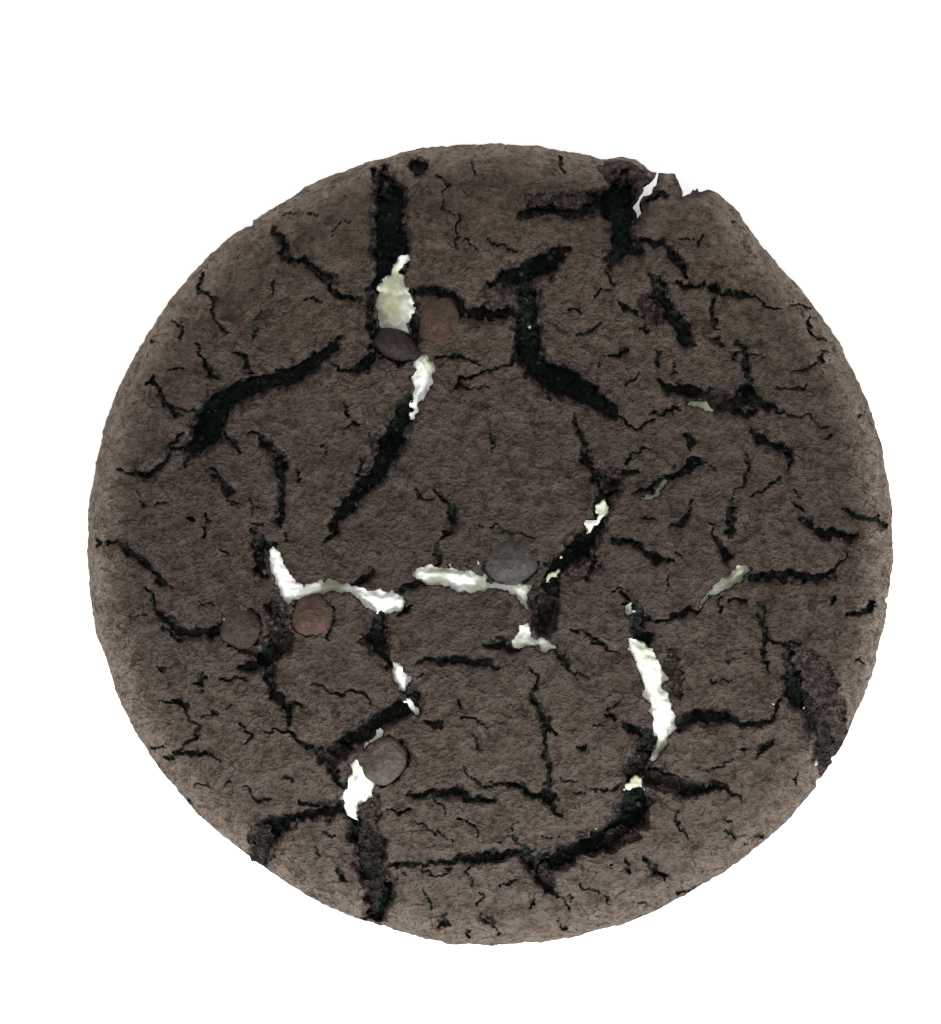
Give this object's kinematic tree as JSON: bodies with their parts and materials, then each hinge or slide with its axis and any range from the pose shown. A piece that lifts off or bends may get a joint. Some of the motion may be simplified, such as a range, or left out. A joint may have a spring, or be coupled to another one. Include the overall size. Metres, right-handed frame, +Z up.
{
  "type": "chocolate cookie",
  "caption": "Thick round chocolate cookie, domed and deeply cracked, with chocolate chips and a soft white filling showing in the cracks.",
  "frame": {"origin": "middle of the flat underside, at the centre of the outline's box", "axes": "+Z up through the domed top, +Y towards the side with the notch in the rim, +X to its right"},
  "size_m": [0.0906, 0.0901, 0.019],
  "materials": {
    "crust": "matte baked cocoa crust",
    "filling": "soft satin white cream",
    "chocolate": "satin dark chocolate"
  },
  "bodies": {
    "root": {"cookie": "crust", "filling": "filling", "chip_north": "chocolate", "chip_north_dark": "chocolate", "chip_west": "chocolate", "chip_west_round": "chocolate", "chip_south_west": "chocolate", "chip_centre": "chocolate"}
  },
  "joints": []
}
